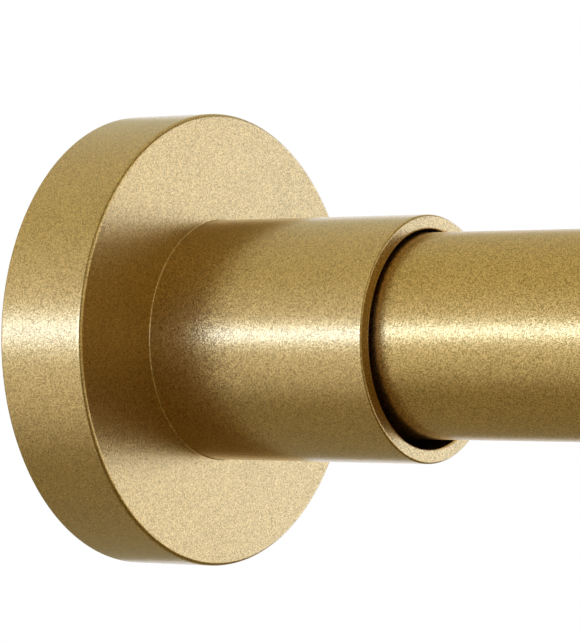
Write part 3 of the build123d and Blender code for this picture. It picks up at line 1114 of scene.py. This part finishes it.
def tension_screw():
    """The tail with its flats, the flange, and the core with a steep thread round it."""
    start, end, flange = reach("tension_screw")
    flange_start = reach("screw_seat_washer")[1]
    thread_start = flange_start + SCREW_FLANGE
    outline = [
        (start, 0.0),
        (start, TAIL, 0.4),
        (flange_start, TAIL, 0.2),
        (flange_start, flange, 0.3),
        (thread_start, flange, 0.3),
        (thread_start, CORE, 0.3),
        (end - TIP_LONG, CORE),
        (end, CORE - TIP_NARROWER, 0.2),
        (end, 0.0),
    ]
    body = turned("tension_screw_body", outline, steps=SMALL_STEPS)
    press_flats(body, flange_start)
    turns = (end - THREAD_STOP - thread_start) / MAIN_PITCH
    thread = (thread_start, end - THREAD_STOP, CORE, turns, MAIN_HIGH)
    print("tension screw: thread radius", CORE + MAIN_HIGH, "and", round(turns, 1), "turns")
    return coiled(body, THREAD_COIL, thread, **MAIN_THREAD)


install(tension_screw(), "tension_screw")
for node in ("lock_seat_washer", "screw_seat_washer", "tail_washer"):
    install(washer(node, TAIL + TAIL_GAP), node)

# %% [markdown]
# ## The lock, the guide and the tail nut
# The slotted collet, the cone, the split guide ring and the hexagon nut already have their true form in
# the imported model, but as loose flat triangles. A copy with its points merged is shaded smoothly, and
# stays sharp only where the real piece has an edge.

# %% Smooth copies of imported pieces
MERGE_DISTANCE = 0.002
COPIES = {
    "lock_collet": "collet",
    "lock_cone": "cone",
    "guide_ring": "split_guide",
    "tail_nut": "hexagon_nut",
}


def smooth_copy(node, name):
    """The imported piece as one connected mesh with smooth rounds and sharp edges."""
    shape = bmesh.new()
    shape.from_mesh(frame["nodes"][node].data)
    bmesh.ops.remove_doubles(shape, verts=shape.verts, dist=MERGE_DISTANCE * MM)
    return shade(as_object(name, shape))


for node, name in COPIES.items():
    install(smooth_copy(node, name), node)

# %% [markdown]
# ## The nut plug
# The plug in the thin tube's end carries the guide ring and the nut's thread, which the tension screw
# works in. The inner thread could be cut with a copy of the screw, but the coil tree makes it too, with
# its section turned to the axis. It begins half a turn away from the screw's thread, so that each ridge
# lies in the middle of the other's groove, and both have the same pitch.

# %% The nut plug
NUT_LIP = 1.0
SNOUT = 8.5
NUT_FLANGE = 2.3
NUT_LIP_RADIUS = 9.3
NUT_BORE = 5.2
NUT_LENGTH = 26.5
NUT_THREAD_HIGH = 0.9
NUT_THREAD_MARGIN = 1.5
BETWEEN_RIDGES = 0.5
NUT_THREAD = {"foot": 2.0, "tip": 1.1, "fade": 0.03}


def nut_thread(start, end):
    """Whole turns of thread in a bore from start to end, half a turn off the tension screw's."""
    screw_thread = reach("screw_seat_washer")[1] + SCREW_FLANGE
    skipped = math.ceil((start + NUT_THREAD_MARGIN - screw_thread) / MAIN_PITCH) + BETWEEN_RIDGES
    thread_start = screw_thread + skipped * MAIN_PITCH
    turns = math.floor((end - NUT_THREAD_MARGIN - thread_start) / MAIN_PITCH)
    print("nut thread: starts at", thread_start, "mm, turns", turns)
    return thread_start, thread_start + turns * MAIN_PITCH, NUT_BORE, turns, NUT_THREAD_HIGH


def nut_plug():
    """The plug in the thin tube's end: lip, snout for the guide ring, flange, and the part in the tube."""
    start, end, flange = reach("nut_plug")
    flange_end = end - NUT_LENGTH
    in_tube = flange - INNER_WALL - PRESS_GAP
    outline = [
        (start, NUT_BORE, 0.3),
        (start, NUT_LIP_RADIUS, 0.3),
        (start + NUT_LIP, NUT_LIP_RADIUS, 0.15),
        (start + NUT_LIP, SNOUT, 0.1),
        (flange_end - NUT_FLANGE, SNOUT, 0.1),
        (flange_end - NUT_FLANGE, flange, 0.3),
        (flange_end, flange, 0.2),
        (flange_end, in_tube),
        (end, in_tube, 0.5),
        (end, NUT_BORE, 0.5),
    ]
    body = turned("nut_plug_body", outline, steps=INSIDE_STEPS)
    return coiled(body, NUT_COIL, nut_thread(start, end), **NUT_THREAD)


install(nut_plug(), "nut_plug")
print(len(finished), "pieces,", sum(finished.values()), "triangles")

# %% [markdown]
# ## The light
# The rod hangs in a white world, and a long strip lamp in front, near the rod's own height, draws the
# bright line along sleeve and tube. A soft lamp behind the rod lights the disc's face at a slant. Both
# are area lamps, because a small lamp would leave a hard glint on satin metal, and neither is seen by
# the camera.

# %% The white world and the two lamps
WHITE = (1.0, 1.0, 1.0, 1.0)
LAMP_SPREAD = math.radians(120)
STRIP_SIZE = (4100.0, 270.0)
STRIP_PLACE = (-1700.0, -1500.0, 120.0)
STRIP_TARGET = (-1700.0, 0.0, 0.0)
STRIP_POWER = 6.4
STRIP_TINT = (0.70, 1.0, 1.95)
BACK_SIZE = (1500.0, 1500.0)
BACK_PLACE = direction(160.0, 2.0) * 2000.0
BACK_TARGET = (0.0, 0.0, 0.0)
BACK_POWER = 2.0
BACK_TINT = (0.20, 0.50, 1.2)


def area_lamp(name, size, power, tint, place, target):
    """A soft rectangular lamp that the camera does not see."""
    lamp = bpy.data.lights.new(name, "AREA")
    lamp.shape = "RECTANGLE"
    lamp.size, lamp.size_y = (side * MM for side in size)
    lamp.energy = power
    lamp.color = tint
    lamp.spread = LAMP_SPREAD
    made = bpy.data.objects.new(name, lamp)
    bpy.context.scene.collection.objects.link(made)
    aim(made, place, target)
    made.visible_camera = False
    print(name, "stands at", [round(x) for x in place], "mm")


world = bpy.data.worlds.new("white_world")
bpy.context.scene.world = world
world.use_nodes = True
world.node_tree.nodes["Background"].inputs["Color"].default_value = WHITE
world.node_tree.nodes["Background"].inputs["Strength"].default_value = 1.0
area_lamp("strip_lamp", STRIP_SIZE, STRIP_POWER, STRIP_TINT, STRIP_PLACE, STRIP_TARGET)
area_lamp("back_lamp", BACK_SIZE, BACK_POWER, BACK_TINT, BACK_PLACE, BACK_TARGET)

# %% [markdown]
# ## The studio's shell
# Satin metal shows its surroundings, so the surroundings are half of its look. A dim shell stands round
# the rod, as grey studio walls do: brighter above than below, brightest in front on the left, where a
# big soft card stands, and darkest in a ring on the right, which goes round the rod's own axis. Behind
# the rod the shell is open, so that metal seen at a slant shows the white background. A sphere with some
# faces taken out is enough, painted by the direction in which each point lies. The camera looks through
# it, and it casts no shadow.

# %% The shape of the shell
SHELL_RADIUS = 3.2
SHELL_COLUMNS = 90
SHELL_ROWS = 45
OPEN_FROM = 100.0
OPEN_TO = 222.0
OPEN_HIGH = 24.0


def shell():
    """A sphere of faces round the rod, open behind it."""
    shape = bmesh.new()
    sizes = {"u_segments": SHELL_COLUMNS, "v_segments": SHELL_ROWS, "radius": SHELL_RADIUS}
    bmesh.ops.create_uvsphere(shape, **sizes)
    behind = []
    for face in shape.faces:
        way = face.calc_center_median().normalized()
        azimuth = math.degrees(math.atan2(way.x, -way.y)) % 360
        if OPEN_FROM < azimuth < OPEN_TO and abs(way.z) < math.sin(math.radians(OPEN_HIGH)):
            behind.append(face)
    print("shell: open at", len(behind), "of", len(shape.faces), "faces")
    bmesh.ops.delete(shape, geom=behind, context="FACES")
    return as_object("studio_shell", shape)


# %% The paint of the shell
ABOVE = (0.56, 0.53, 0.37)
BELOW = (0.27, 0.235, 0.14)
CEILING_RANGE = (-0.55, 0.3)
SOFT_CARD = (0.74, 0.74, 0.70)
CARD_WAY = direction(-20.0, -1.0)
CARD_RANGE = (0.54, 1.0)
DIM_RING = (0.14, 0.10, 0.03)
RING_LEAN = 0.3
RING_BEGINS = (0.0, 0.5)
RING_ENDS = (0.66, 0.88)


def use_surface(material, wire):
    """Puts a shader on the material's output."""
    material.node_tree.links.new(wire.socket, material.node_tree.nodes["Material Output"].inputs["Surface"])


shell_paint, first, _ = new_finish("shell")
way = first.node("ShaderNodeTexCoord", out="Object").vector("NORMALIZE")
right = first.node("ShaderNodeSeparateXYZ", {0: way})
height = right.output("Z")
card = way.vector("DOT_PRODUCT", tuple(CARD_WAY), out="Value").step(*CARD_RANGE)
ring = (right - height * RING_LEAN).step(*RING_BEGINS) * (1.0 - right.step(*RING_ENDS))
glow = height.step(*CEILING_RANGE).tint(BELOW, ABOVE)
glow = ring.tint(glow, DIM_RING)
glow = card.tint(glow, SOFT_CARD)
use_surface(shell_paint, glow.node("ShaderNodeEmission", {"Color": glow, "Strength": 1.0}))
shell_paint.cycles.emission_sampling = "NONE"
studio = shell()
studio.data.materials.append(shell_paint)
studio.visible_camera = False
studio.visible_shadow = False

# %% [markdown]
# ## The floor
# The level camera looks over the floor, which shows in views from above. It is a round pale disc well
# below the rod that fades into the white background, so it has no edge. Part of its brightness is its
# own, and the rest comes from the light, so that a shadow can still fall on it. The metal does not
# mirror it.

# %% The floor
FLOOR_BELOW = 500.0
FLOOR_RADIUS = 2.6
FLOOR_SIDES = 96
FLOOR_FADE = (0.45, 0.98)
FLOOR_PALE = (0.80, 0.79, 0.78, 1.0)
FLOOR_LIFT = 0.45
FLOOR_ROUGHNESS = 0.9


def floor_disc():
    """A round floor, centred under the rod."""
    shape = bmesh.new()
    bmesh.ops.create_circle(shape, cap_ends=True, segments=FLOOR_SIDES, radius=FLOOR_RADIUS)
    for point in shape.verts:
        point.co += Vector((rod_length / 2 * MM, 0, -FLOOR_BELOW * MM))
    return as_object("studio_floor", shape)


floor_paint, first, shader = new_finish("floor")
place = first.node("ShaderNodeTexCoord", out="Object").vector("SUBTRACT", (rod_length / 2 * MM, 0, 0))
away = place.vector("MULTIPLY", (1, 1, 0)).vector("LENGTH", out="Value") / FLOOR_RADIUS
fill(shader, Base_Color=FLOOR_PALE, Roughness=FLOOR_ROUGHNESS)
fill(shader, Emission_Color=WHITE, Emission_Strength=FLOOR_LIFT)
clear = first.node("ShaderNodeBsdfTransparent")
lit = Wire(floor_paint.node_tree, shader.outputs[0])
faded = first.node("ShaderNodeMixShader", {0: away.step(*FLOOR_FADE), 1: lit, 2: clear})
use_surface(floor_paint, faded)
floor_paint.cycles.emission_sampling = "NONE"
ground = floor_disc()
ground.data.materials.append(floor_paint)
ground.visible_glossy = False
print("floor:", FLOOR_BELOW, "mm below the rod's axis,", FLOOR_RADIUS, "m in radius")
